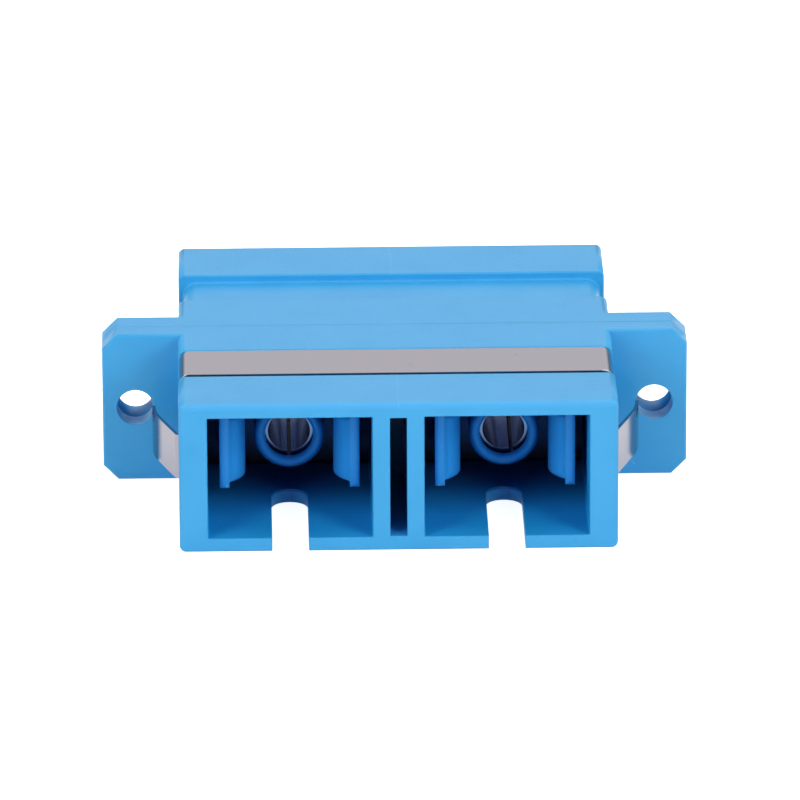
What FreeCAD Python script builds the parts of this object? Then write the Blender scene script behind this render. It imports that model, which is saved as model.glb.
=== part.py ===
import FreeCAD, Part
import math
import os
import Sketcher
from FreeCAD import Placement, Rotation, Vector

# Flanged duplex fibre adapter. Two moulded housing halves are welded together in the middle
# of the flange. Each of the two ports holds a pair of latch inserts, back to back, which carry
# a split alignment sleeve between them, and a folded spring clip sits over the front half.
# +Y runs from the front ports to the rear ports, +Z is up, and the origin lies in the middle
# of the bottom face. All sizes are millimetres.

SIZES = {
    # Housing halves, outside
    "body_width": 25.7,
    "body_height": 9.2,
    "body_length": 27.0,
    "body_edge_radius": 0.38,
    "mouth_edge_chamfer": 0.14,
    "collar_length": 4.9,
    "groove_width": 4.3,
    "groove_top_depth": 0.5,
    "groove_side_depth": 0.32,
    "groove_corner_radius": 0.85,
    "groove_rim_chamfer": 0.1,
    "groove_foot_radius": 0.15,
    # Flange, shared by the two halves
    "flange_ear": 4.55,
    "flange_thickness": 3.1,
    "flange_front_share": 1.4,
    "flange_chamfer": 0.9,
    "flange_edge_radius": 0.15,
    "screw_inset": 1.95,
    "screw_hole_diameter": 2.2,
    "joint_chamfer": 0.08,
    "peg_outset": 0.05,
    "peg_diameter": 1.0,
    "peg_length": 0.6,
    "peg_clearance": 0.06,
    # Ports
    "side_wall": 1.665,
    "centre_wall": 3.03,
    "port_wall": 0.85,
    "port_corner_radius": 0.06,
    "port_chamfer": 0.05,
    "key_slot_width": 2.15,
    "key_slot_length": 7.95,
    "centre_slot_side_wall": 1.015,
    "centre_slot_roof": 0.9,
    "centre_slot_floor": 3.1,
    # Latch inserts
    "insert_shoulder": 0.265,
    "insert_thickness": 1.4,
    "insert_clearance": 0.05,
    "holder_wall": 0.455,
    "holder_reach": 6.55,
    "holder_rim_chamfer": 0.3,
    "holder_mouth_chamfer": 0.2,
    "holder_lip_relief": 0.19,
    "holder_lip_length": 0.5,
    "hook_reach": 9.1,
    "hook_wall_gap": 0.715,
    "hook_strip_thickness": 0.57,
    "hook_strip_height": 4.55,
    "hook_nose_rise": 0.95,
    "hook_nose_height": 3.9,
    "hook_nose_ramp": 1.8,
    "hook_nose_flat": 0.6,
    "hook_tip_land": 0.1,
    # Split sleeves
    "sleeve_bore": 2.5,
    "sleeve_wall": 0.3,
    "sleeve_clearance": 0.07,
    "sleeve_end_play": 0.35,
    "sleeve_slit": 0.24,
    "right_slit_angle": 20.0,
    # Spring clip
    "clip_metal": 0.2,
    "clip_side_gap": 0.07,
    "clip_roof_gap": 0.28,
    "clip_front_gap": 0.33,
    "clip_rear_gap": 0.05,
    "clip_bend_radius": 0.5,
    "leg_top_drop": 1.7,
    "leg_foot": 0.9,
    "toe_width": 2.0,
    "toe_depth": 0.5,
    "toe_clearance": 0.1,
    "tongue_height": 2.75,
    "tongue_drop": 0.58,
    "tongue_slit": 0.2,
    "tongue_root": 0.3,
    "tongue_fold_radius": 0.15,
    "tongue_angle": 20.0,
    "tongue_panel_gap": 1.81,
    "tongue_lip_radius": 5.6,
}

doc = FreeCAD.newDocument("duplex_fibre_adapter")
sheet = doc.addObject("Spreadsheet::Sheet", "Size")
for row, (alias, number) in enumerate(SIZES.items(), start=1):
    sheet.set("A%d" % row, alias)
    sheet.set("B%d" % row, str(number))
    sheet.setAlias("B%d" % row, alias)
doc.recompute()


def size(expression):
    """The value of a sheet expression such as 'Size.body_width / 2'."""
    result = sheet.evalExpression(expression)
    return float(getattr(result, "Value", result))


# Lengths that several pieces share, worked out from the sheet.
HALF_LENGTH = "(Size.body_length / 2)"
HALF_WIDTH = "(Size.body_width / 2)"
HALF_HEIGHT = "(Size.body_height / 2)"
HALF_FLANGE = "(Size.flange_thickness / 2)"
FLANGE_SIDE = "(%s + Size.flange_ear)" % HALF_WIDTH
SCREW_OFFSET = "(%s - Size.screw_inset)" % FLANGE_SIDE
PEG_OFFSET = "(%s + Size.peg_outset)" % HALF_WIDTH
PORT_WIDTH = "(%s - Size.side_wall - Size.centre_wall / 2)" % HALF_WIDTH
PORT_HEIGHT = "(Size.body_height - 2 * Size.port_wall)"
PORT_OFFSET = "((%s + Size.centre_wall) / 2)" % PORT_WIDTH
INSERT_WIDTH = "(%s + 2 * Size.insert_shoulder)" % PORT_WIDTH
INSERT_HEIGHT = "(%s - 2 * Size.insert_clearance)" % PORT_HEIGHT
SEAT_WIDTH = "(%s + 2 * Size.insert_clearance)" % INSERT_WIDTH
SEAT_DEPTH = "(Size.insert_thickness + Size.insert_clearance)"
SLEEVE_OUTER = "(Size.sleeve_bore + 2 * Size.sleeve_wall)"
SLEEVE_HALF = "(Size.holder_reach - Size.holder_lip_length - Size.sleeve_end_play)"
HOLDER_BORE = "(%s + 2 * Size.sleeve_clearance)" % SLEEVE_OUTER
HOLDER_OUTER = "(%s + 2 * Size.holder_wall)" % HOLDER_BORE
LIP_BORE = "(Size.sleeve_bore + 2 * Size.holder_lip_relief)"
HOOK_OUTER = "(%s / 2 - Size.hook_wall_gap)" % PORT_WIDTH
GROOVE_START = "(%s - Size.collar_length)" % HALF_LENGTH
STRAP_START = "(%s - Size.clip_front_gap)" % GROOVE_START
STRAP_WIDTH = "(Size.groove_width - Size.clip_front_gap - Size.clip_rear_gap)"
LEG_TOP = "(Size.body_height - Size.leg_top_drop)"
SIDE_FLOOR = "(%s - Size.groove_side_depth)" % HALF_WIDTH
TOP_FLOOR = "(Size.body_height - Size.groove_top_depth)"
LEG_INNER = "(%s + Size.clip_side_gap)" % SIDE_FLOOR
TOE_MIDDLE = "(-%s + %s / 2)" % (STRAP_START, STRAP_WIDTH)
BEYOND = "1"


def origin_plane(body, role):
    return [part for part in body.Origin.OriginFeatures if part.Role == role][0]


def new_body(label):
    body = doc.addObject("PartDesign::Body", label)
    body.Label = label
    return body


def new_sketch(body, name, role, centre=("0", "0"), height="0"):
    """A sketch on one of the body's own planes. XZ_Plane looks along +Y, so its height is -Y."""
    sketch = body.newObject("Sketcher::SketchObject", name)
    sketch.AttachmentSupport = [(origin_plane(body, role), "")]
    sketch.MapMode = "FlatFace"
    sketch.setExpression("AttachmentOffset.Base.x", centre[0])
    sketch.setExpression("AttachmentOffset.Base.y", centre[1])
    sketch.setExpression("AttachmentOffset.Base.z", height)
    return sketch


def bind(sketch, constraint, name, expression):
    index = sketch.addConstraint(constraint)
    sketch.renameConstraint(index, name)
    sketch.setExpression("Constraints." + name, expression)


def pin_point(sketch, index, place, name, point):
    """Holds one end of a line or arc at a point given by two expressions."""
    for kind, letter, expression in (("DistanceX", "x", point[0]), ("DistanceY", "y", point[1])):
        constraint = Sketcher.Constraint(kind, -1, 1, index, place, size(expression))
        bind(sketch, constraint, name + letter, expression)


def arc_between(start, finish, radius):
    """An arc from start to finish. A positive radius turns left, a negative one turns right."""
    middle = (start + finish) * 0.5
    chord = finish - start
    rise = math.sqrt(max(radius * radius - chord.Length ** 2 / 4, 0.0))
    left = Vector(-chord.y, chord.x, 0).normalize()
    centre = middle + left * math.copysign(rise, radius)
    circle = Part.Circle(centre, Vector(0, 0, 1), abs(radius))
    first, last = (start, finish) if radius > 0 else (finish, start)
    return Part.ArcOfCircle(circle, circle.parameter(first), circle.parameter(last))


def draw_outline(sketch, corners, closed=True):
    """Draws lines and arcs through the corners. Each corner is (x, y) or (x, y, arc radius to
    the next corner), all expressions, and every corner is pinned to its expressions."""
    count = len(corners)
    spans = count if closed else count - 1
    for index in range(spans):
        here = corners[index]
        there = corners[(index + 1) % count]
        start = Vector(size(here[0]), size(here[1]), 0)
        finish = Vector(size(there[0]), size(there[1]), 0)
        if len(here) == 2:
            sketch.addGeometry(Part.LineSegment(start, finish), False)
            first, last = 1, 2
        else:
            radius = size(here[2])
            sketch.addGeometry(arc_between(start, finish, radius), False)
            first, last = (1, 2) if radius > 0 else (2, 1)
            bend = Sketcher.Constraint("Radius", index, abs(radius))
            bind(sketch, bend, "radius%d" % index, "abs(%s)" % here[2])
        pin_point(sketch, index, first, "start%d" % index, here[:2])
        pin_point(sketch, index, last, "finish%d" % index, there[:2])
    return sketch


def rounded_rectangle(width, height, radius):
    """Corners, run anticlockwise, of a rectangle centred on the sketch's origin."""
    right, top = "(%s / 2)" % width, "(%s / 2)" % height
    inner_right, inner_top = "(%s - %s)" % (right, radius), "(%s - %s)" % (top, radius)
    return [
        ("-" + inner_right, "-" + top),
        (inner_right, "-" + top, radius),
        (right, "-" + inner_top),
        (right, inner_top, radius),
        (inner_right, top),
        ("-" + inner_right, top, radius),
        ("-" + right, inner_top),
        ("-" + right, "-" + inner_top, radius),
    ]


def rectangle(left, bottom, right, top):
    return [(left, bottom), (right, bottom), (right, top), (left, top)]


def draw_circle(sketch, diameter):
    circle = Part.Circle(Vector(0, 0, 0), Vector(0, 0, 1), size(diameter) / 2)
    index = sketch.addGeometry(circle, False)
    sketch.addConstraint(Sketcher.Constraint("Coincident", index, 3, -1, 1))
    bind(sketch, Sketcher.Constraint("Diameter", index, size(diameter)), "diameter", diameter)
    return sketch


def volume_of(body):
    return body.Shape.Volume if body.Tip else 0.0


def extrude(body, kind, sketch, length, reverse=False, both_ways=False):
    """Pads or pockets a sketch, and checks that the solid really gained or lost material."""
    before = volume_of(body)
    feature = body.newObject("PartDesign::" + kind, sketch.Name + "_" + kind.lower())
    feature.Profile = sketch
    feature.Reversed = reverse
    if both_ways:
        feature.SideType = "Symmetric"
    feature.setExpression("Length", length)
    sketch.Visibility = False
    doc.recompute()
    change = volume_of(body) - before
    if (kind == "Pad") != (change > 0) or abs(change) < 1e-6:
        raise RuntimeError("%s of %s changed the volume by %g" % (kind, sketch.Name, change))
    return feature


def pad(body, sketch, length, **ways):
    return extrude(body, "Pad", sketch, length, **ways)


def pocket(body, sketch, length, **ways):
    return extrude(body, "Pocket", sketch, length, **ways)


def sweep(body, name, section, route):
    """Carries a closed section along an open route."""
    before = volume_of(body)
    feature = body.newObject("PartDesign::AdditivePipe", name)
    feature.Profile = section
    feature.Spine = (route, ["Edge%d" % (i + 1) for i in range(len(route.Geometry))])
    doc.recompute()
    if volume_of(body) <= before:
        raise RuntimeError("%s added nothing" % name)
    return feature


def dress(body, kind, name, amount, chosen):
    """Rounds or chamfers the edges of the body's latest shape for which chosen(edge) is true."""
    base = body.Tip
    names = ["Edge%d" % (i + 1) for i, edge in enumerate(base.Shape.Edges) if chosen(edge)]
    if not names:
        raise RuntimeError("no edges for " + name)
    feature = body.newObject("PartDesign::" + kind, name)
    feature.Base = (base, names)
    feature.setExpression("Radius" if kind == "Fillet" else "Size", amount)
    doc.recompute()
    return feature


def on_plane(edge, axis, position):
    """True for an edge that lies in the plane where the axis ('x', 'y' or 'z') is at position."""
    box = edge.BoundBox
    low, high = getattr(box, axis.upper() + "Min"), getattr(box, axis.upper() + "Max")
    return abs(low - position) < 1e-4 and abs(high - position) < 1e-4


def make_housing(label, share, joint, turned):
    """One moulded half. It is drawn with its ports facing -Y, and the rear half is then turned
    about the vertical axis. share is its part of the flange, and joint is 'peg' or 'socket'."""
    body = new_body(label)
    joint_plane = "(%s - %s)" % (share, HALF_FLANGE)
    mouth = -size(HALF_LENGTH)

    # Its slice of the flange, with cut-off corners and softened front edges.
    flange = new_sketch(body, label + "_flange", "XZ_Plane", ("0", HALF_HEIGHT), HALF_FLANGE)
    side, top, cut = FLANGE_SIDE, HALF_HEIGHT, "Size.flange_chamfer"
    inner_side, inner_top = "(%s - %s)" % (side, cut), "(%s - %s)" % (top, cut)
    draw_outline(flange, [
        ("-" + inner_side, "-" + top), (inner_side, "-" + top),
        (side, "-" + inner_top), (side, inner_top),
        (inner_side, top), ("-" + inner_side, top),
        ("-" + side, inner_top), ("-" + side, "-" + inner_top),
    ])
    pad(body, flange, share, reverse=True)
    dress(body, "Fillet", label + "_flange_edge", "Size.flange_edge_radius",
          lambda edge: on_plane(edge, "y", -size(HALF_FLANGE)))

    # The rectangular body, from the port mouths back to the weld.
    block = new_sketch(body, label + "_block", "XZ_Plane", ("0", HALF_HEIGHT), HALF_LENGTH)
    draw_outline(block, rounded_rectangle("Size.body_width", "Size.body_height",
                                          "Size.body_edge_radius"))
    pad(body, block, "%s + %s" % (HALF_LENGTH, joint_plane), reverse=True)
    dress(body, "Chamfer", label + "_mouth_edge", "Size.mouth_edge_chamfer",
          lambda edge: on_plane(edge, "y", mouth))

    # The two ports, right through, with a small lead-in round each mouth.
    for name, sign in (("left", "-"), ("right", "")):
        port = new_sketch(body, "%s_%s_port" % (label, name), "XZ_Plane",
                          (sign + PORT_OFFSET, HALF_HEIGHT), HALF_LENGTH)
        draw_outline(port, rounded_rectangle(PORT_WIDTH, PORT_HEIGHT, "Size.port_corner_radius"))
        pocket(body, port, "Size.body_length")
    half_port = size(PORT_HEIGHT) / 2 + 1e-3
    inside = size(HALF_WIDTH) - 0.5
    dress(body, "Chamfer", label + "_port_mouth", "Size.port_chamfer",
          lambda edge: on_plane(edge, "y", mouth)
          and abs(edge.BoundBox.ZMin - size(HALF_HEIGHT)) < half_port
          and abs(edge.BoundBox.ZMax - size(HALF_HEIGHT)) < half_port
          and edge.BoundBox.XMax < inside and edge.BoundBox.XMin > -inside)

    # Wider seats for the latch inserts, sunk from the weld, so that the ports trap them.
    for name, sign in (("left", "-"), ("right", "")):
        seat = new_sketch(body, "%s_%s_seat" % (label, name), "XZ_Plane",
                          (sign + PORT_OFFSET, HALF_HEIGHT), SEAT_DEPTH)
        draw_outline(seat, rounded_rectangle(SEAT_WIDTH, PORT_HEIGHT, "Size.port_corner_radius"))
        pocket(body, seat, "%s + %s" % (SEAT_DEPTH, joint_plane))

    # The blind slot that cores out the wall between the ports.
    core = new_sketch(body, label + "_centre_slot", "XZ_Plane", ("0", HALF_HEIGHT), HALF_LENGTH)
    slot_half = "(Size.centre_wall / 2 - Size.centre_slot_side_wall)"
    slot_top = "(%s - Size.centre_slot_roof)" % HALF_HEIGHT
    draw_outline(core, rectangle("-" + slot_half, "-" + slot_top, slot_half, slot_top))
    pocket(body, core, "%s - Size.centre_slot_floor" % HALF_LENGTH)

    # Round-ended key slots through the bottom wall, one to a port.
    for name, sign in (("left", "-"), ("right", "")):
        key = new_sketch(body, "%s_%s_key" % (label, name), "XY_Plane",
                         (sign + PORT_OFFSET, "-" + HALF_LENGTH))
        half_key = "(Size.key_slot_width / 2)"
        shoulder = "(Size.key_slot_length - %s)" % half_key
        draw_outline(key, [
            ("-" + half_key, "-" + BEYOND), (half_key, "-" + BEYOND),
            (half_key, shoulder, half_key), ("0", "Size.key_slot_length", half_key),
            ("-" + half_key, shoulder),
        ])
        pocket(body, key, "2 * Size.port_wall", both_ways=True)

    # The groove over the top and down both sides that the clip's strap lies in.
    groove = new_sketch(body, label + "_groove", "XZ_Plane", ("0", "0"), GROOVE_START)
    outer_side, outer_top = "(%s + %s)" % (HALF_WIDTH, BEYOND), "(Size.body_height + %s)" % BEYOND
    bend = "Size.groove_corner_radius"
    floor_side, floor_top = "(%s - %s)" % (SIDE_FLOOR, bend), "(%s - %s)" % (TOP_FLOOR, bend)
    draw_outline(groove, [
        ("-" + outer_side, "-" + BEYOND), ("-" + SIDE_FLOOR, "-" + BEYOND),
        ("-" + SIDE_FLOOR, floor_top, "-" + bend), ("-" + floor_side, TOP_FLOOR),
        (floor_side, TOP_FLOOR, "-" + bend), (SIDE_FLOOR, floor_top),
        (SIDE_FLOOR, "-" + BEYOND), (outer_side, "-" + BEYOND),
        (outer_side, outer_top), ("-" + outer_side, outer_top),
    ])
    pocket(body, groove, "Size.groove_width")

    # Pockets low in the groove's sides, which the clip's toes hook into.
    half_toe = "(Size.toe_width / 2 + Size.toe_clearance)"
    for name, sign in (("left", "-"), ("right", "")):
        toe = new_sketch(body, "%s_%s_toe" % (label, name), "YZ_Plane", height=sign + SIDE_FLOOR)
        draw_outline(toe, rectangle(
            "(%s - %s)" % (TOE_MIDDLE, half_toe), "(Size.leg_foot - Size.toe_clearance)",
            "(%s + %s)" % (TOE_MIDDLE, half_toe),
            "(Size.leg_foot + Size.clip_metal + Size.toe_clearance)"))
        pocket(body, toe, "Size.toe_depth - Size.clip_side_gap + Size.toe_clearance",
               reverse=sign == "-")

    # Its rims and the feet of its walls are softened, as moulded.
    walls = [-size(GROOVE_START), -size(GROOVE_START) + size("Size.groove_width")]
    floor_x, floor_z = size(SIDE_FLOOR) + 1e-3, size(TOP_FLOOR) + 1e-3

    def in_groove_wall(edge):
        return any(on_plane(edge, "y", wall) for wall in walls)

    def on_groove_floor(edge):
        box = edge.BoundBox
        return box.XMax < floor_x and box.XMin > -floor_x and box.ZMax < floor_z

    dress(body, "Fillet", label + "_groove_foot", "Size.groove_foot_radius",
          lambda edge: in_groove_wall(edge) and on_groove_floor(edge)
          and edge.BoundBox.ZMax > size("Size.body_edge_radius"))
    dress(body, "Chamfer", label + "_groove_rim", "Size.groove_rim_chamfer",
          lambda edge: in_groove_wall(edge) and not on_groove_floor(edge))

    # Screw holes through the flange.
    for name, sign in (("left", "-"), ("right", "")):
        hole = new_sketch(body, "%s_%s_screw_hole" % (label, name), "XZ_Plane",
                          (sign + SCREW_OFFSET, HALF_HEIGHT), HALF_LENGTH)
        pocket(body, draw_circle(hole, "Size.screw_hole_diameter"), "Size.body_length")
    dress(body, "Chamfer", label + "_screw_hole_joint", "Size.joint_chamfer",
          lambda edge: on_plane(edge, "y", size(joint_plane))
          and isinstance(edge.Curve, Part.Circle)
          and abs(edge.Curve.Radius - size("Size.screw_hole_diameter") / 2) < 1e-6)

    # Pegs on the front half and sockets in the rear half line the two up for welding.
    for name, sign in (("left", "-"), ("right", "")):
        peg = new_sketch(body, "%s_%s_%s" % (label, name, joint), "XZ_Plane",
                         (sign + PEG_OFFSET, HALF_HEIGHT), "-" + joint_plane)
        if joint == "peg":
            pad(body, draw_circle(peg, "Size.peg_diameter"), "Size.peg_length", reverse=True)
        else:
            draw_circle(peg, "Size.peg_diameter + 2 * Size.peg_clearance")
            pocket(body, peg, "Size.peg_length + Size.peg_clearance", reverse=True)

    if turned:
        body.Placement = Placement(Vector(0, 0, 0), Rotation(Vector(0, 0, 1), 180))
    return body


def make_insert(label, side, turned):
    """A latch insert: a plate across the port, a tube that holds half of the split sleeve, and
    two hook arms. It is drawn round the port's axis with its hooks facing -Y."""
    body = new_body(label)

    plate = new_sketch(body, label + "_plate", "XZ_Plane")
    draw_outline(plate, rounded_rectangle(INSERT_WIDTH, INSERT_HEIGHT, "Size.port_corner_radius"))
    pad(body, plate, "Size.insert_thickness")

    tube = new_sketch(body, label + "_tube", "XZ_Plane")
    pad(body, draw_circle(tube, HOLDER_OUTER), "Size.holder_reach")
    dress(body, "Chamfer", label + "_rim", "Size.holder_rim_chamfer",
          lambda edge: on_plane(edge, "y", -size("Size.holder_reach")))

    # Each arm is a flat strip with a nose on its inner face, rounded at the front.
    inner = "(%s - Size.hook_strip_thickness)" % HOOK_OUTER
    crest = "(%s - Size.hook_nose_rise)" % inner
    root = "-(Size.insert_thickness / 2)"
    nose_start = "(-Size.hook_reach + Size.hook_tip_land)"
    nose_radius = "((Size.hook_nose_ramp ^ 2 / Size.hook_nose_rise + Size.hook_nose_rise) / 2)"
    nose_top = "(%s + Size.hook_nose_ramp)" % nose_start
    nose_end = "(%s + Size.hook_nose_flat)" % nose_top
    for name, sign in (("left", "-"), ("right", "")):
        def across(expression):
            return sign + expression

        strip = new_sketch(body, "%s_%s_strip" % (label, name), "XY_Plane")
        draw_outline(strip, [
            (across(inner), root), (across(HOOK_OUTER), root),
            (across(HOOK_OUTER), "-Size.hook_reach"), (across(inner), "-Size.hook_reach"),
        ])
        pad(body, strip, "Size.hook_strip_height", both_ways=True)
        nose = new_sketch(body, "%s_%s_nose" % (label, name), "XY_Plane")
        turn = "-" if sign == "" else ""
        draw_outline(nose, [
            (across(HOOK_OUTER), nose_start),
            (across(inner), nose_start, turn + nose_radius),
            (across(crest), nose_top), (across(crest), nose_end),
            (across(HOOK_OUTER), nose_end),
        ])
        pad(body, nose, "Size.hook_nose_height", both_ways=True)

    # The bore takes the sleeve, and a lip at the front keeps it in.
    bore = new_sketch(body, label + "_bore", "XZ_Plane")
    draw_circle(bore, HOLDER_BORE)
    pocket(body, bore, "Size.holder_reach - Size.holder_lip_length", reverse=True)
    lip = new_sketch(body, label + "_lip", "XZ_Plane")
    pocket(body, draw_circle(lip, LIP_BORE), "Size.holder_reach", reverse=True)
    dress(body, "Chamfer", label + "_mouth", "Size.holder_mouth_chamfer",
          lambda edge: on_plane(edge, "y", -size("Size.holder_reach"))
          and abs(edge.Curve.Radius - size(LIP_BORE) / 2) < 1e-6)

    body.setExpression("Placement.Base.x", side + PORT_OFFSET)
    body.setExpression("Placement.Base.z", HALF_HEIGHT)
    if turned:
        body.Placement.Rotation = Rotation(Vector(0, 0, 1), 180)
    return body


def make_sleeve(label, side, slit_angle):
    """A split sleeve: a thin tube on the port's axis with one slit along its whole length."""
    body = new_body(label)
    tube = new_sketch(body, label + "_tube", "XZ_Plane")
    length = "2 * " + SLEEVE_HALF
    pad(body, draw_circle(tube, SLEEVE_OUTER), length, both_ways=True)
    bore = new_sketch(body, label + "_bore", "XZ_Plane")
    pocket(body, draw_circle(bore, "Size.sleeve_bore"), length, both_ways=True)
    slit = new_sketch(body, label + "_slit", "XZ_Plane")
    half_slit = "(Size.sleeve_slit / 2)"
    draw_outline(slit, rectangle("-" + half_slit, "-" + SLEEVE_OUTER, half_slit, "0"))
    pocket(body, slit, length, both_ways=True)
    body.setExpression("Placement.Base.x", side + PORT_OFFSET)
    body.setExpression("Placement.Base.z", HALF_HEIGHT)
    body.Placement.Rotation = Rotation(Vector(0, 1, 0), -slit_angle)
    return body


def make_clip(label):
    """The spring clip, folded from strip: a strap over the top and a leg down each side. A tongue
    runs forward out of each leg, through a notch in its front edge, and folds back outside it.
    A toe at the foot of each leg hooks into the housing."""
    body = new_body(label)
    leg = "(%s + Size.clip_metal / 2)" % LEG_INNER
    roof = "(%s + Size.clip_roof_gap + Size.clip_metal / 2)" % TOP_FLOOR
    bend = "Size.clip_bend_radius"

    # The strap: its flat section is carried up one leg, over the roof and down the other.
    route = new_sketch(body, label + "_strap_route", "XZ_Plane", height="-" + TOE_MIDDLE)
    bend_foot, roof_end = "(%s - %s)" % (roof, bend), "(%s - %s)" % (leg, bend)
    draw_outline(route, [
        ("-" + leg, LEG_TOP), ("-" + leg, bend_foot, "-" + bend),
        ("-" + roof_end, roof), (roof_end, roof, "-" + bend),
        (leg, bend_foot), (leg, LEG_TOP),
    ], closed=False)
    section = new_sketch(body, label + "_strap_section", "XY_Plane", ("-" + leg, TOE_MIDDLE),
                         LEG_TOP)
    draw_outline(section, rectangle("-Size.clip_metal / 2", "-%s / 2" % STRAP_WIDTH,
                                    "Size.clip_metal / 2", "%s / 2" % STRAP_WIDTH))
    sweep(body, label + "_strap", section, route)

    front = "-" + STRAP_START
    back = "(-%s + %s)" % (STRAP_START, STRAP_WIDTH)
    fold_line = "(%s + Size.tongue_fold_radius + Size.clip_metal / 2)" % front
    root_line = "(%s + Size.tongue_root)" % fold_line
    notch_end = "(%s + Size.tongue_root / 2)" % fold_line
    tongue_centre = "(%s - Size.tongue_drop)" % HALF_HEIGHT
    tongue_half = "(Size.tongue_height / 2)"
    notch_low = "(%s - %s - Size.tongue_slit)" % (tongue_centre, tongue_half)
    notch_high = "(%s + %s + Size.tongue_slit)" % (tongue_centre, tongue_half)
    angle = "(Size.tongue_angle * 1 deg)"
    slope_x = "(Size.tongue_fold_radius * (1 + cos(%s)))" % angle
    slope_y = "(-Size.tongue_root - Size.tongue_fold_radius * sin(%s))" % angle
    tip_y = "(-%s - Size.tongue_panel_gap - %s)" % (HALF_FLANGE, root_line)
    lip_y = "(%s - Size.tongue_lip_radius * sin(%s))" % (tip_y, angle)
    lip_x = "(%s + (%s - %s) * tan(%s))" % (slope_x, lip_y, slope_y, angle)
    tip_x = "(%s + Size.tongue_lip_radius * (1 - cos(%s)))" % (lip_x, angle)
    for name, sign in (("left", "-"), ("right", "")):
        # The rest of the leg, its front edge notched to make room for the tongue's fold.
        side = new_sketch(body, "%s_%s_leg" % (label, name), "YZ_Plane", height=sign + LEG_INNER)
        draw_outline(side, [
            (front, "Size.leg_foot"), (back, "Size.leg_foot"), (back, LEG_TOP),
            (front, LEG_TOP), (front, notch_high), (notch_end, notch_high),
            (notch_end, notch_low), (front, notch_low),
        ])
        pad(body, side, "Size.clip_metal", reverse=sign == "-")

        # The toe is folded inwards at the foot of the leg.
        toe = new_sketch(body, "%s_%s_toe" % (label, name), "XY_Plane",
                         (sign + LEG_INNER, TOE_MIDDLE), "Size.leg_foot")
        reach = "Size.toe_depth" if sign == "-" else "-Size.toe_depth"
        draw_outline(toe, rectangle("0", "-Size.toe_width / 2", reach, "Size.toe_width / 2"))
        pad(body, toe, "Size.clip_metal")

        # The tongue runs forward out of the leg, folds back outside it and slopes away from it,
        # and its lip curves to run straight back.
        route = new_sketch(body, "%s_%s_tongue_route" % (label, name), "XY_Plane",
                           (sign + leg, root_line), tongue_centre)
        draw_outline(route, [
            ("0", "0"),
            ("0", "-Size.tongue_root", sign + "Size.tongue_fold_radius"),
            (sign + slope_x, slope_y),
            (sign + lip_x, lip_y, sign + "Size.tongue_lip_radius"),
            (sign + tip_x, tip_y),
        ], closed=False)
        section = new_sketch(body, "%s_%s_tongue_section" % (label, name), "XZ_Plane",
                             (sign + leg, tongue_centre), "-" + root_line)
        draw_outline(section, rectangle("-Size.clip_metal / 2", "-" + tongue_half,
                                        "Size.clip_metal / 2", tongue_half))
        sweep(body, "%s_%s_tongue" % (label, name), section, route)
    return body


front_share = "Size.flange_front_share"
rear_share = "(Size.flange_thickness - Size.flange_front_share)"
bodies = [
    make_housing("front_housing", front_share, "peg", turned=False),
    make_housing("rear_housing", rear_share, "socket", turned=True),
]
for side_name, side_sign in (("left", "-"), ("right", "")):
    for end_name, is_turned in (("front", False), ("rear", True)):
        insert_label = "%s_%s_latch_insert" % (end_name, side_name)
        bodies.append(make_insert(insert_label, side_sign, is_turned))
bodies.append(make_sleeve("left_split_sleeve", "-", 0.0))
bodies.append(make_sleeve("right_split_sleeve", "", size("Size.right_slit_angle")))
bodies.append(make_clip("mounting_clip"))
doc.recompute()

for item in doc.Objects:
    if "Invalid" in item.State or "Error" in item.State:
        raise RuntimeError("%s is not up to date: %s" % (item.Name, item.State))
for body in bodies:
    if body.Shape.isNull() or not body.Shape.isValid() or len(body.Shape.Solids) != 1:
        raise RuntimeError("%s is not one valid solid" % body.Label)

os.makedirs("parts", exist_ok=True)
for body in bodies:
    body.Shape.exportStep(os.path.join("parts", body.Label + ".step"))
    box = body.Shape.BoundBox
    print("%-26s volume %8.2f  x %.2f %.2f  y %.2f %.2f  z %.2f %.2f" % (
        body.Label, body.Shape.Volume, box.XMin, box.XMax, box.YMin, box.YMax, box.ZMin, box.ZMax))
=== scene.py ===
from math import cos, radians, sin

import bpy
from mathutils import Matrix, Vector


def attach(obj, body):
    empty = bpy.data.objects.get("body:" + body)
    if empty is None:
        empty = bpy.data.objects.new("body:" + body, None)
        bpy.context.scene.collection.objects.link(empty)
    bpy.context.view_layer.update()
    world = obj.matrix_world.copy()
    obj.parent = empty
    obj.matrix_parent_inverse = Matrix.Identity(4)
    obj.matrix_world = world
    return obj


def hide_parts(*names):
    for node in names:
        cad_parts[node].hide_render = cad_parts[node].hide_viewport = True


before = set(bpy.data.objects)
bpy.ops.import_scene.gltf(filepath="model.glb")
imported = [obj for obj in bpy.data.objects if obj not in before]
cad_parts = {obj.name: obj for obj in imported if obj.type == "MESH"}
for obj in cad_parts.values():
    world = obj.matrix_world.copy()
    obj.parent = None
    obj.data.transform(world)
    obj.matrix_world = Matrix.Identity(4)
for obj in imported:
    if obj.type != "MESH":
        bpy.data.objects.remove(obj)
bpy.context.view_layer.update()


# ---------------------------------------------------------------------------------------------
# Camera. A long lens looks down on the front ports from a little above and hardly to the left,
# so the sides of the body stay nearly parallel. It is aimed at the middle of the body.
MM = 0.001
ELEVATION = radians(20.80)
AZIMUTH = radians(-1.04)
ROLL = radians(-0.25)
CAMERA_DISTANCE = 608.7 * MM
AIM_POINT = Vector((0.34, 0.1, 4.26)) * MM
FILM_WIDTH = 36.0
FOCAL_LENGTH = 458.6
NEAR_LIMIT, FAR_LIMIT = 0.05, 20.0

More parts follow.
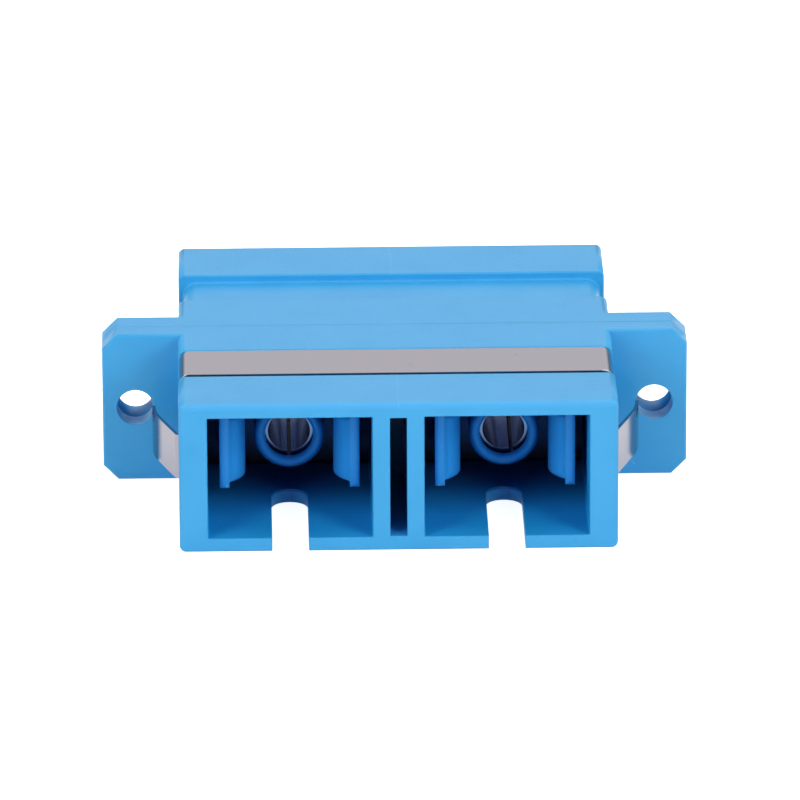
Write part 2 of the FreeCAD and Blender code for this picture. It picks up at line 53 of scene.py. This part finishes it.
lens = bpy.data.cameras.new("long_lens")
lens.sensor_width = FILM_WIDTH
lens.lens = FOCAL_LENGTH
lens.clip_start = NEAR_LIMIT
lens.clip_end = FAR_LIMIT
camera = bpy.data.objects.new("camera", lens)
bpy.context.scene.collection.objects.link(camera)
from_aim = Vector((sin(AZIMUTH) * cos(ELEVATION), -cos(AZIMUTH) * cos(ELEVATION), sin(ELEVATION)))
camera.matrix_world = (Matrix.Translation(AIM_POINT + from_aim * CAMERA_DISTANCE)
                       @ from_aim.to_track_quat("Z", "Y").to_matrix().to_4x4()
                       @ Matrix.Rotation(ROLL, 4, "Z"))
bpy.context.scene.camera = camera


# ---------------------------------------------------------------------------------------------
# Studio. A plain white table in a white surround, with six softboxes: a wide one overhead, one at
# each front corner, one low at each side and one behind. The table keeps the soft shadow that the
# adapter stands in.
def srgb(text):
    """A colour written as sRGB hex, turned to linear light."""
    parts = [int(text[i:i + 2], 16) / 255 for i in (1, 3, 5)]
    return [v / 12.92 if v <= 0.04045 else ((v + 0.055) / 1.055) ** 2.4 for v in parts] + [1.0]


def add(tree, kind, sockets, **settings):
    """Adds a node with its settings. A socket is given a value, or another node's output."""
    made = tree.nodes.new("ShaderNode" + kind)
    for name, value in settings.items():
        setattr(made, name, value)
    for key, value in sockets.items():
        if isinstance(value, bpy.types.NodeSocket):
            tree.links.new(value, made.inputs[key])
        else:
            made.inputs[key].default_value = value
    return made


def blank_material(name):
    """A new material and its node tree, with nothing in it yet."""
    material = bpy.data.materials.new(name)
    material.use_nodes = True
    material.node_tree.nodes.clear()
    return material, material.node_tree


def rays(tree):
    """Whether a ray mirrors off something, and whether the camera sees it straight or through
    something clear."""
    path = add(tree, "LightPath", {})
    seen = add(tree, "Math", {0: path.outputs["Is Camera Ray"],
                              1: path.outputs["Is Transmission Ray"]}, operation="MAXIMUM")
    return path.outputs["Is Glossy Ray"], seen.outputs[0]


# The surround sheds little light of its own on matt surfaces. What glossy ones mirror is white
# high up and darker towards the horizon, so that upright faces keep their colour. Heights are
# those of a ray's direction, from 0 when level to 1 when upright.
SURROUND_LIGHT = 0.06
HORIZON = 0.12
HORIZON_HEIGHT, SKY_HEIGHT = 0.05, 0.25

world = bpy.data.worlds.new("white_surround")
bpy.context.scene.world = world
world.use_nodes = True
tree = world.node_tree
tree.nodes.clear()
glossy_ray, camera_ray = rays(tree)
ray = add(tree, "SeparateXYZ", {"Vector": add(tree, "TexCoord", {}).outputs["Generated"]})
mirrored = add(tree, "MapRange", {"Value": ray.outputs["Z"], "From Min": HORIZON_HEIGHT,
                                  "From Max": SKY_HEIGHT, "To Min": HORIZON, "To Max": 1.0})
spread = add(tree, "MixRGB", {"Fac": glossy_ray, "Color1": [SURROUND_LIGHT] * 3 + [1],
                              "Color2": mirrored.outputs["Result"]})
shown = add(tree, "MixRGB", {"Fac": camera_ray, "Color1": spread.outputs["Color"],
                             "Color2": srgb("#FFFFFF")})
surround = add(tree, "Background", {"Color": shown.outputs["Color"]})
add(tree, "OutputWorld", {"Surface": surround.outputs[0]})

# Matt white paper on a table top. Its glow takes it up to white for the camera, and to a pale
# grey where something glossy mirrors it. It lies a hair below the adapter's flat underside, so
# that the two faces don't share one plane.
TABLE_SIZE = 4.0
TABLE_GAP = 0.02 * MM
TABLE_GLOW = 0.88
MIRRORED_GLOW = 0.31

bpy.ops.object.select_all(action="DESELECT")
bpy.ops.mesh.primitive_plane_add(size=TABLE_SIZE, location=(0, 0, -TABLE_GAP))
table = bpy.context.object
table.name = "table"
paper, tree = blank_material("matt_white_paper")
matt = add(tree, "BsdfDiffuse", {"Color": srgb("#F4F4F4")})
glossy_ray, camera_ray = rays(tree)
mirrored = add(tree, "Math", {0: glossy_ray, 1: MIRRORED_GLOW}, operation="MULTIPLY")
strength = add(tree, "Math", {0: camera_ray, 1: TABLE_GLOW, 2: mirrored.outputs[0]},
               operation="MULTIPLY_ADD")
glow = add(tree, "Emission", {"Color": srgb("#FFFFFF"), "Strength": strength.outputs[0]})
sheet = add(tree, "AddShader", {0: matt.outputs[0], 1: glow.outputs[0]})
add(tree, "OutputMaterial", {"Surface": sheet.outputs[0]})
table.data.materials.append(paper)


def softbox(name, place, width, height, power):
    """A rectangular softbox at a place in millimetres, turned to face the adapter, with its power
    in watts. It stays out of reflections, so that no flat face glares: those come from the
    surround and the table."""
    light = bpy.data.lights.new(name, "AREA")
    light.shape = "RECTANGLE"
    light.size = width * MM
    light.size_y = height * MM
    light.energy = power
    lamp = bpy.data.objects.new(name, light)
    lamp.visible_glossy = False
    bpy.context.scene.collection.objects.link(lamp)
    away = Vector(place) * MM
    lamp.matrix_world = (Matrix.Translation(away)
                         @ (away - AIM_POINT).to_track_quat("Z", "Y").to_matrix().to_4x4())


softbox("overhead_softbox", (0, 40, 420), width=420, height=320, power=1.13)
softbox("left_softbox", (-310, -340, 230), width=170, height=220, power=0.9)
softbox("right_softbox", (300, -345, 230), width=170, height=220, power=1.12)
softbox("low_left_softbox", (-420, -200, 70), width=240, height=120, power=0.42)
softbox("low_right_softbox", (420, -200, 70), width=240, height=120, power=0.38)
softbox("rear_softbox", (0, 400, 300), width=420, height=200, power=0.6)


# ---------------------------------------------------------------------------------------------
# Housing halves. Two shells of blue PBT, injection moulded in a polished mould, pressed together
# on their pegs and welded along the middle of the flange. The mould's parting line leaves a faint
# mark, and handling leaves a few light rubs and nicks.
SAME_POINT = 0.002 * MM
SAME_PLANE = radians(0.5)
EDGE_BREAK_WIDTH = 0.35 * MM
CLEAR_FOLD, SHARP_FOLD = radians(25), radians(62)


def finished(node, material):
    """A finished piece on a carried-over solid. The same surface is joined up into whole faces,
    and its roundings and narrow edge breaks are shaded smooth between the flat faces, which
    stay flat. A narrow face's width is twice its area over the way around it."""
    piece = bpy.data.objects.new(node + "_finished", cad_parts[node].data.copy())
    bpy.context.scene.collection.objects.link(piece)
    bpy.ops.object.select_all(action="DESELECT")
    piece.select_set(True)
    bpy.context.view_layer.objects.active = piece
    bpy.ops.mesh.customdata_custom_splitnormals_clear()
    bpy.ops.object.mode_set(mode="EDIT")
    bpy.ops.mesh.select_all(action="SELECT")
    bpy.ops.mesh.remove_doubles(threshold=SAME_POINT)
    bpy.ops.mesh.dissolve_limited(angle_limit=SAME_PLANE)
    bpy.ops.object.mode_set(mode="OBJECT")
    bpy.ops.object.shade_smooth()

    mesh = piece.data
    edge_of = {edge.key: edge for edge in mesh.edges}
    sides = {}
    for face in mesh.polygons:
        around = sum((mesh.vertices[a].co - mesh.vertices[b].co).length for a, b in face.edge_keys)
        width = 2 * face.area / around
        for key in face.edge_keys:
            sides.setdefault(key, []).append((face.normal.copy(), width))
    for key, ((first, first_width), (second, second_width)) in sides.items():
        fold = first.angle(second, 0)
        edge_break = min(first_width, second_width) < EDGE_BREAK_WIDTH
        edge_of[key].use_edge_sharp = fold > SHARP_FOLD or (fold > CLEAR_FOLD and not edge_break)
    level = piece.modifiers.new("flat_faces_stay_flat", "WEIGHTED_NORMAL")
    level.keep_sharp = True
    bpy.ops.object.modifier_apply(modifier=level.name)
    mesh.materials.clear()
    mesh.materials.append(material)
    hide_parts(node)
    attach(piece, "root")


def mapped(tree, size):
    """Object coordinates counted in a real size, in millimetres along each axis."""
    place = add(tree, "TexCoord", {}).outputs["Object"]
    return add(tree, "Mapping", {"Vector": place,
                                 "Scale": [1 / (s * MM) for s in size]}).outputs[0]


def placed(tree):
    """Where a point lies on the adapter, in millimetres: across, along and up, then how far out
    it is to either side of the middle and towards either end."""
    place = add(tree, "SeparateXYZ", {"Vector": mapped(tree, (1, 1, 1))})
    across, along, up = (place.outputs[axis] for axis in "XYZ")
    aside = add(tree, "Math", {0: across}, operation="ABSOLUTE").outputs[0]
    reach = add(tree, "Math", {0: along}, operation="ABSOLUTE").outputs[0]
    return across, along, up, aside, reach


def overlap(tree, *masks):
    """One where all the masks are one: the masks multiplied together."""
    result = masks[0]
    for mask in masks[1:]:
        result = add(tree, "Math", {0: result, 1: mask}, operation="MULTIPLY").outputs[0]
    return result


def hairline(tree, distance, width):
    """One where a distance in millimetres is nought, fading to nought half a width away."""
    away = add(tree, "Math", {0: distance}, operation="ABSOLUTE").outputs[0]
    return add(tree, "MapRange", {"Value": away, "From Min": 0.0, "From Max": width / 2,
                                  "To Min": 1.0, "To Max": 0.0},
               interpolation_type="SMOOTHSTEP").outputs["Result"]


SOLID_SHARE = 0.4


def strokes(tree, *marks):
    """One along a few straight rubs, nicks or specks. Each is given by its start, its end and its
    width, in millimetres. It is solid over a share of its half width, and fades from there."""
    result = 0.0
    for start, end, width in marks:
        start, end = Vector(start), Vector(end)
        length, middle = (end - start).length, (start + end) / 2
        turn = (end - start).to_track_quat("X", "Z").inverted().to_euler()
        place = add(tree, "TexCoord", {}).outputs["Object"]
        moved = add(tree, "VectorMath", {0: place, 1: middle * MM}, operation="SUBTRACT")
        turned = add(tree, "VectorRotate", {"Vector": moved.outputs[0], "Rotation": turn},
                     rotation_type="EULER_XYZ")
        sized = add(tree, "VectorMath", {0: turned.outputs[0],
                                         1: [2 / (side * MM) for side in (length, width, width)]},
                    operation="MULTIPLY")
        spread = add(tree, "VectorMath", {0: sized.outputs[0]}, operation="LENGTH")
        mark = add(tree, "MapRange", {"Value": spread.outputs["Value"], "From Min": SOLID_SHARE,
                                      "From Max": 1.0, "To Min": 1.0, "To Max": 0.0})
        result = add(tree, "Math", {0: result, 1: mark.outputs["Result"]},
                     operation="MAXIMUM").outputs[0]
    return result


# Blue PBT from a polished mould has a soft gloss with no mirror in it. Slow ripples 2.6 mm long,
# from the plastic's shrinking, stir the reflections and shift the tint. The mould's own grain is
# finer than 0.05 mm and is drawn at 0.22 mm, so that it shows.
RIPPLE_LENGTH, RIPPLE_DEPTH = 2.6, 0.02 * MM
GRAIN_SIZE, GRAIN_DEPTH = 0.22, 0.004 * MM
PBT_IOR = 1.45

# Light reaches the ports mostly off their own blue walls, so a richer blue is painted there as
# painted shade, and a deeper painted shade towards the back. A port is found by its place, in
# millimetres.
PORT_MIDDLE = 4.6
PORT_HALF_HEIGHT = 3.9
PORT_INNER_SIDE, PORT_OUTER_SIDE = 1.2, 11.6
PORT_MOUTH = 13.4
FULL_SHADE = 5.0


def moulded_pbt(tree, up, aside, reach, blues, port_shade_tint, shade_start, shade, edge_radius):
    """The look that all the blue mouldings share: the colour with the ports' painted shade, the
    grain, and the direction of the surface over edges rounded by a small radius. The ports'
    painted shade starts at a distance from the middle and grows to its full strength inwards."""
    ripple = add(tree, "TexNoise", {"Vector": mapped(tree, [RIPPLE_LENGTH] * 3), "Scale": 1.0,
                                    "Detail": 2.0, "Roughness": 0.45})
    grain = add(tree, "TexNoise", {"Vector": mapped(tree, [GRAIN_SIZE] * 3), "Scale": 1.0,
                                   "Detail": 3.0, "Roughness": 0.6})
    tint = add(tree, "ValToRGB", {"Fac": ripple.outputs["Fac"]})
    for stop, position, blue in zip(tint.color_ramp.elements, (0.3, 0.7), blues):
        stop.position, stop.color = position, srgb(blue)

    off_middle = add(tree, "Math", {0: up, 1: PORT_MIDDLE}, operation="SUBTRACT").outputs[0]
    level = add(tree, "Math", {0: off_middle}, operation="ABSOLUTE").outputs[0]
    port = overlap(tree, *(
        add(tree, "Math", {0: value, 1: limit}, operation=side).outputs[0]
        for value, side, limit in ((level, "LESS_THAN", PORT_HALF_HEIGHT),
                                   (aside, "LESS_THAN", PORT_OUTER_SIDE),
                                   (aside, "GREATER_THAN", PORT_INNER_SIDE),
                                   (reach, "LESS_THAN", PORT_MOUTH))))
    inward = add(tree, "MapRange", {"Value": reach, "From Min": shade_start,
                                    "From Max": FULL_SHADE, "To Min": 0.0, "To Max": shade})
    # Painted shade: the ports are painted a richer blue, and a deeper one towards the back.
    port_shaded = add(tree, "MixRGB", {"Fac": port, "Color1": tint.outputs["Color"],
                                  "Color2": port_shade_tint + [1.0]}, blend_type="MULTIPLY")
    deep_port_shade = add(tree, "MixRGB", {"Fac": overlap(tree, port, inward.outputs["Result"]),
                                "Color1": port_shaded.outputs["Color"], "Color2": srgb("#002C80")})

    soft_edges = add(tree, "Bevel", {"Radius": edge_radius}, samples=6)
    waves = add(tree, "Bump", {"Height": ripple.outputs["Fac"], "Strength": 0.25,
                               "Distance": RIPPLE_DEPTH, "Normal": soft_edges.outputs[0]})
    skin = add(tree, "Bump", {"Height": grain.outputs["Fac"], "Strength": 0.25,
                              "Distance": GRAIN_DEPTH, "Normal": waves.outputs[0]})
    return deep_port_shade.outputs["Color"], grain.outputs["Fac"], skin.outputs[0]


housing_plastic, tree = blank_material("blue_moulded_pbt")
across, along, up, aside, reach = placed(tree)
blue, grain, surface = moulded_pbt(
    tree, up, aside, reach, blues=("#369DD7", "#3CA2DB"), port_shade_tint=[0.45, 1.0, 1.04],
    shade_start=10.0, shade=0.68, edge_radius=0.09 * MM)

# The collars' end faces turn over into the top on a soft edge, with a painted paler highlight.
COLLAR_END = 13.3
PALE_FROM, PALE_TO = 8.8, 9.1
at_end = add(tree, "Math", {0: reach, 1: COLLAR_END}, operation="GREATER_THAN").outputs[0]
at_top = add(tree, "MapRange", {"Value": up, "From Min": PALE_FROM,
                                "From Max": PALE_TO}).outputs["Result"]
edge_highlighted = add(tree, "MixRGB", {"Fac": overlap(tree, at_end, at_top, 0.9), "Color1": blue,
                              "Color2": srgb("#4AABE6")}).outputs["Color"]

# The weld between the halves closes almost unseen, and shows as a short dark hair here and
# there, more to the right.
WELD_PLACE = -0.15
WELD_WIDTH = 0.12
WELD_PATCH = 3.5
WELD_LEFT, WELD_RIGHT = -4.0, 15.0
from_weld = add(tree, "Math", {0: along, 1: WELD_PLACE}, operation="SUBTRACT").outputs[0]
patches = add(tree, "TexNoise", {"Vector": mapped(tree, [WELD_PATCH] * 3), "Scale": 1.0,
                                 "Detail": 1.0})
open_weld = add(tree, "MapRange", {"Value": patches.outputs["Fac"], "From Min": 0.48,
                                   "From Max": 0.62}).outputs["Result"]
to_right = add(tree, "MapRange", {"Value": across, "From Min": WELD_LEFT,
                                  "From Max": WELD_RIGHT, "To Min": 0.05,
                                  "To Max": 1.0}).outputs["Result"]
weld = overlap(tree, hairline(tree, from_weld, WELD_WIDTH), open_weld, to_right, 0.8)

# The mould's parting line is a paler hair over the top of the two collars, past the clip's groove.
PARTING_WIDTH = 0.16
GROOVE_END = 8.7
TOP_START = 8.9
past_groove = add(tree, "Math", {0: reach, 1: GROOVE_END}, operation="GREATER_THAN").outputs[0]
on_top = add(tree, "Math", {0: up, 1: TOP_START}, operation="GREATER_THAN").outputs[0]
parting = overlap(tree, hairline(tree, across, PARTING_WIDTH), past_groove, on_top, 0.11)

# A light rub lies on the flange by the clip's right tongue, and small nicks on the top and the
# front face.
rub = overlap(tree, strokes(tree, ((14.08, -1.55, 0.85), (14.4, -1.55, 0.6), 0.08)), 0.5)
nicks = overlap(tree, strokes(tree, ((-12.0, -13.5, 8.75), (-11.85, -13.5, 8.76), 0.07),
                              ((2.3, -2.6, 9.2), (2.4, -2.75, 9.2), 0.08),
                              ((-9.4, -13.5, 0.6), (-9.3, -13.5, 0.66), 0.08),
                              ((10.3, -13.5, 0.5), (10.45, -13.5, 0.52), 0.08),
                              ((4.1, -9.9, 9.2), (4.2, -9.9, 9.2), 0.08)), 0.5)
dark_lines = add(tree, "Math", {0: weld, 1: nicks}, operation="MAXIMUM").outputs[0]
pale_lines = add(tree, "Math", {0: parting, 1: rub}, operation="MAXIMUM").outputs[0]
lined = add(tree, "MixRGB", {"Fac": dark_lines, "Color1": edge_highlighted,
                             "Color2": srgb("#0B5C92")}).outputs["Color"]
marked = add(tree, "MixRGB", {"Fac": pale_lines, "Color1": lined,
                              "Color2": srgb("#8CC8EE")}).outputs["Color"]
gloss = add(tree, "MapRange", {"Value": grain, "From Min": 0.3, "From Max": 0.7,
                               "To Min": 0.30, "To Max": 0.40}).outputs["Result"]
shell = add(tree, "BsdfPrincipled", {"Base Color": marked, "Roughness": gloss, "IOR": PBT_IOR,
                                     "Normal": surface})
add(tree, "OutputMaterial", {"Surface": shell.outputs[0]})
for node in ("front_housing", "rear_housing"):
    finished(node, housing_plastic)


# ---------------------------------------------------------------------------------------------
# Latch inserts. Four small mouldings in the same blue plastic, each with a plate, a tube that
# holds half of a sleeve, and two springy hook arms. A pair is pressed in back to back behind each
# port.
PORT_OFFSET = 6.35
TUBE_RADIUS = 2.15
BORE_RADIUS = 1.8
LIP_START = 6.0
PLATE_FRONT = 3.5
FOOT_TOP, FOOT_BOTTOM = 3.4, 1.3

# Their edges are rounder than the housing's and their skin is duller, which gives a softer sheen.
insert_plastic, tree = blank_material("blue_insert_pbt")
_, _, up, aside, reach = placed(tree)
blue, _, surface = moulded_pbt(
    tree, up, aside, reach, blues=("#389AE2", "#3DA0E6"), port_shade_tint=[0.72, 1.03, 1.06],
    shade_start=9.0, shade=0.62, edge_radius=0.45 * MM)
beside_axis = add(tree, "Math", {0: aside, 1: PORT_OFFSET}, operation="SUBTRACT").outputs[0]
above_axis = add(tree, "Math", {0: up, 1: PORT_MIDDLE}, operation="SUBTRACT").outputs[0]
from_axis = add(tree, "CombineXYZ", {"X": beside_axis, "Z": above_axis}).outputs[0]
radius = add(tree, "VectorMath", {0: from_axis}, operation="LENGTH").outputs["Value"]

# The tube's front rim stands clear of the painted port shade and is painted a purer blue, as a
# painted highlight where it catches the light. Its bore is painted a greyer blue as painted shade,
# and is duller, and the plate is painted nearly black at its foot as painted shade, where no light
# reaches.
on_tube = add(tree, "Math", {0: radius, 1: TUBE_RADIUS}, operation="LESS_THAN").outputs[0]
at_lip = add(tree, "Math", {0: reach, 1: LIP_START}, operation="GREATER_THAN").outputs[0]
inside = add(tree, "Math", {0: radius, 1: BORE_RADIUS}, operation="LESS_THAN").outputs[0]
behind_lip = add(tree, "Math", {0: reach, 1: LIP_START}, operation="LESS_THAN").outputs[0]
in_bore = overlap(tree, inside, behind_lip)
on_plate = add(tree, "Math", {0: reach, 1: PLATE_FRONT}, operation="LESS_THAN").outputs[0]
at_foot = add(tree, "MapRange", {"Value": up, "From Min": FOOT_TOP,
                                 "From Max": FOOT_BOTTOM}).outputs["Result"]
rim_lit_colour = add(tree, "MixRGB", {"Fac": overlap(tree, on_tube, at_lip), "Color1": blue,
                              "Color2": srgb("#1689D6")}).outputs["Color"]
bore_shaded = add(tree, "MixRGB", {"Fac": in_bore, "Color1": rim_lit_colour,
                             "Color2": srgb("#3C6AA8")}).outputs["Color"]
foot_shaded = add(tree, "MixRGB", {"Fac": overlap(tree, on_plate, at_foot, 0.9), "Color1": bore_shaded,
                            "Color2": srgb("#000818")}).outputs["Color"]

# Pale glints are painted on the tips of two hooks, as painted highlights.
tip_glints = strokes(tree, ((-10.08, -9.1, 2.38), (-10.0, -9.1, 2.52), 0.13),
                ((2.32, -9.1, 2.38), (2.66, -9.1, 2.37), 0.13))
tip_glinted = add(tree, "MixRGB", {"Fac": overlap(tree, tip_glints, 0.6), "Color1": foot_shaded,
                              "Color2": srgb("#B4D4F4")}).outputs["Color"]
gloss = add(tree, "MapRange", {"Value": in_bore, "To Min": 0.36, "To Max": 0.46}).outputs["Result"]
shell = add(tree, "BsdfPrincipled", {"Base Color": tip_glinted, "Roughness": gloss, "IOR": PBT_IOR,
                                     "Specular IOR Level": 0.3, "Normal": surface})
add(tree, "OutputMaterial", {"Surface": shell.outputs[0]})
for node in ("front_left_latch_insert", "rear_left_latch_insert",
             "front_right_latch_insert", "rear_right_latch_insert"):
    finished(node, insert_plastic)


# ---------------------------------------------------------------------------------------------
# Split sleeves. Each is a tube rolled from phosphor bronze with a nickel skin, slit along its
# length so that it grips the ferrules. It floats in the tubes of a front and a rear insert.
LINE_WIDTH, LINE_LENGTH = 0.05, 3.0
RIM_START, RIM_END = 5.62, 5.69

# Nickel is a soft mirror. In the tubes it has only dark blue walls to mirror, so its colour is
# painted as a deep slate blue, a painted reflection, with a painted highlight on the rims, which
# catch the light. Its drawing lines run along the tube and streak the sheen: they are finer than
# 0.02 mm and are drawn 0.05 mm wide.
sleeve_metal, tree = blank_material("nickel_plated_bronze")
drawn = add(tree, "TexNoise", {"Vector": mapped(tree, (LINE_WIDTH, LINE_LENGTH, LINE_WIDTH)),
                               "Scale": 1.0, "Detail": 2.0})
streak = add(tree, "MapRange", {"Value": drawn.outputs["Fac"], "To Min": 0.14, "To Max": 0.24})
place = add(tree, "SeparateXYZ", {"Vector": mapped(tree, (1, 1, 1))})
reach = add(tree, "Math", {0: place.outputs["Y"]}, operation="ABSOLUTE").outputs[0]
at_rim = add(tree, "MapRange", {"Value": reach, "From Min": RIM_START, "From Max": RIM_END})
rim_highlighted = add(tree, "MixRGB", {"Fac": at_rim.outputs["Result"], "Color1": srgb("#0A3E78"),
                              "Color2": srgb("#5C7AA6")})
nickel = add(tree, "BsdfPrincipled", {"Base Color": rim_highlighted.outputs["Color"], "Metallic": 1.0,
                                      "Roughness": streak.outputs["Result"]})
add(tree, "OutputMaterial", {"Surface": nickel.outputs[0]})
for node in ("left_split_sleeve", "right_split_sleeve"):
    finished(node, sleeve_metal)


# ---------------------------------------------------------------------------------------------
# Mounting clip. One strip of cold-rolled stainless spring steel, folded over the top and down
# both sides, with a sprung tongue cut from each leg. It hooks into slots in the front housing.
STEEL_GRAIN_LENGTH, STEEL_GRAIN_WIDTH, STEEL_GRAIN_DEPTH = 5.0, 0.06, 0.003 * MM

# Rolled stainless is a bright grey with a satin mirror. Its grain runs along the strip and draws
# the reflections out: it is finer than 0.02 mm and is drawn 0.06 mm wide.
clip_steel, tree = blank_material("cold_rolled_stainless_steel")
rolled = add(tree, "TexNoise", {"Vector": mapped(tree, (STEEL_GRAIN_LENGTH, STEEL_GRAIN_WIDTH,
                                                        STEEL_GRAIN_LENGTH)),
                                "Scale": 1.0, "Detail": 3.0, "Roughness": 0.6})
satin = add(tree, "MapRange", {"Value": rolled.outputs["Fac"], "From Min": 0.3, "From Max": 0.7,
                               "To Min": 0.06, "To Max": 0.1})
soft_edges = add(tree, "Bevel", {"Radius": 0.05 * MM})
lines = add(tree, "Bump", {"Height": rolled.outputs["Fac"], "Strength": 0.3,
                           "Distance": STEEL_GRAIN_DEPTH, "Normal": soft_edges.outputs[0]})

# Two dark specks lie on the strap, and its front corners carry painted glints, pale highlights.
specks = strokes(tree, ((0.8, -7.0, 9.18), (0.92, -7.02, 9.18), 0.13),
                 ((7.05, -5.5, 9.18), (7.15, -5.6, 9.18), 0.12))
corner_glints = strokes(tree, ((12.0, -8.24, 9.18), (12.72, -8.24, 9.02), 0.26),
                  ((-12.3, -8.24, 9.18), (-12.7, -8.24, 9.02), 0.2))
specked = add(tree, "MixRGB", {"Fac": overlap(tree, specks, 0.7), "Color1": srgb("#A19CA5"),
                               "Color2": srgb("#3C3C48")}).outputs["Color"]
corner_glinted = add(tree, "MixRGB", {"Fac": overlap(tree, corner_glints, 0.9), "Color1": specked,
                                 "Color2": srgb("#FAFAFF")}).outputs["Color"]
strip = add(tree, "BsdfPrincipled", {"Base Color": corner_glinted, "Metallic": 1.0,
                                     "Roughness": satin.outputs["Result"],
                                     "Normal": lines.outputs[0]})
add(tree, "OutputMaterial", {"Surface": strip.outputs[0]})
finished("mounting_clip", clip_steel)


bpy.context.scene.view_settings.view_transform = "Standard"
